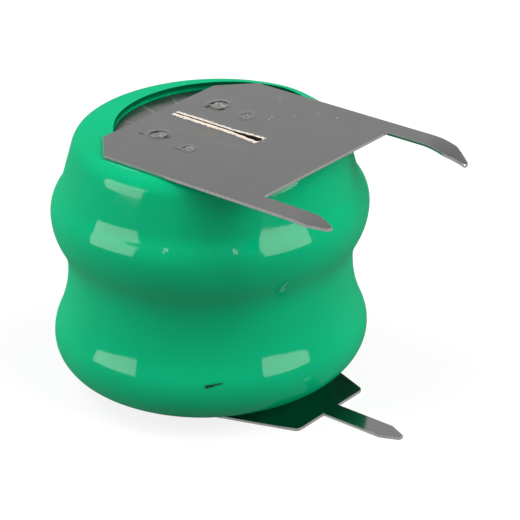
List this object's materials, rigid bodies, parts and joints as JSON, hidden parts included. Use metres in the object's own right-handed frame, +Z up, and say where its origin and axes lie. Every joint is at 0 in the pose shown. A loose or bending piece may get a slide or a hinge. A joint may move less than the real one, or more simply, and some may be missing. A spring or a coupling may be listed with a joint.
{
  "type": "backup battery pack",
  "caption": "Stacked round button cells in a glossy green shrink sleeve, with flat nickel solder tags welded to both ends and pins to one side.",
  "frame": {"origin": "on the axis of the cells, at the underside of the bottom tag, the face the pack stands on", "axes": "+Z up along the axis of the cells, +X the way the solder pins point"},
  "size_m": [0.0198, 0.0158, 0.0133],
  "materials": {
    "sleeve_film": "glossy green shrink film",
    "tag_nickel": "satin nickel-plated strip",
    "link_nickel": "satin nickel strip",
    "cell_steel": "nickel-plated drawn steel",
    "spring_steel": "plated spring steel",
    "nickel_mesh": "fine nickel gauze",
    "gasket_nylon": "moulded nylon",
    "separator_felt": "nonwoven felt",
    "ring_fibre": "pressed fibre",
    "negative_pellet": "pressed metal hydride powder",
    "positive_pellet": "pressed nickel hydroxide powder"
  },
  "bodies": {
    "root": {"sleeve": "sleeve_film", "negative_tag": "tag_nickel", "positive_tag": "tag_nickel", "cell_link": "link_nickel", "insulating_ring": "ring_fibre", "upper_cup": "cell_steel", "upper_gasket": "gasket_nylon", "upper_lid": "cell_steel", "upper_contact_spring": "spring_steel", "upper_negative_mesh": "nickel_mesh", "upper_negative_electrode": "negative_pellet", "upper_separator": "separator_felt", "upper_positive_mesh": "nickel_mesh", "upper_positive_electrode": "positive_pellet", "lower_cup": "cell_steel", "lower_gasket": "gasket_nylon", "lower_lid": "cell_steel", "lower_contact_spring": "spring_steel", "lower_negative_mesh": "nickel_mesh", "lower_negative_electrode": "negative_pellet", "lower_separator": "separator_felt", "lower_positive_mesh": "nickel_mesh", "lower_positive_electrode": "positive_pellet"}
  },
  "joints": []
}
